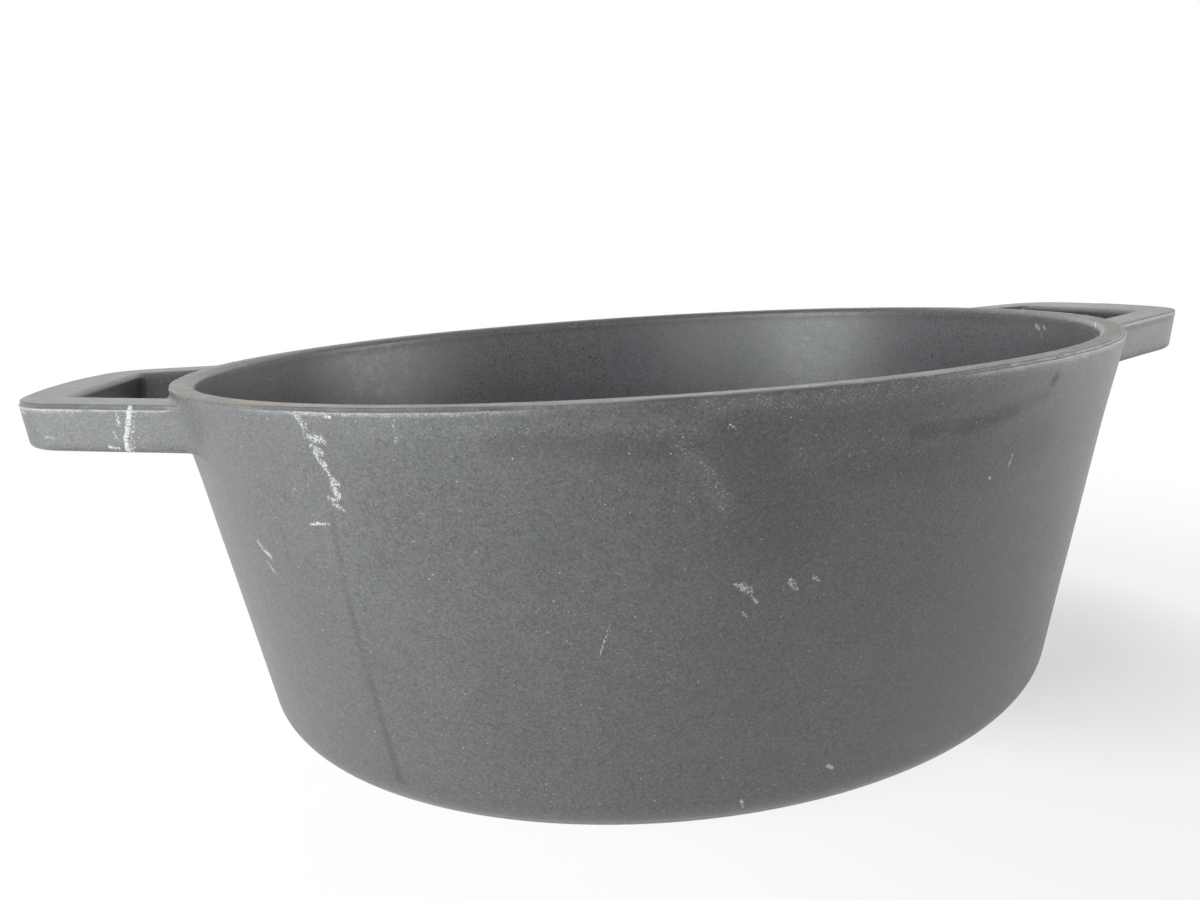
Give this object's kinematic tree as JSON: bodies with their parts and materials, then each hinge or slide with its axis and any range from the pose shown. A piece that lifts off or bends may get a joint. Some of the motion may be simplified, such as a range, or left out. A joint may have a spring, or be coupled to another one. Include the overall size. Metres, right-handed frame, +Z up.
{
  "type": "oval casserole pot",
  "caption": "Oval cast iron casserole pot, open at the top, with leaning walls, a flat ground rim and a flush loop handle at each end of its long axis.",
  "frame": {"origin": "middle of the flat underside, on the surface that the pot stands on", "axes": "+X along the pot's length towards the right handle, +Y across its width, +Z up"},
  "size_m": [0.3618, 0.2436, 0.108],
  "materials": {
    "seasoned_iron": "matt dark grey sand-cast skin with fine pale grain and chalky scuffs",
    "ground_rim": "bare ground iron, satin, pale worn edges with light rust inside"
  },
  "bodies": {
    "root": {"pot_floor": "seasoned_iron", "pot_wall": "seasoned_iron", "rim_lip": "ground_rim", "right_handle": "seasoned_iron", "left_handle": "seasoned_iron"}
  },
  "joints": []
}
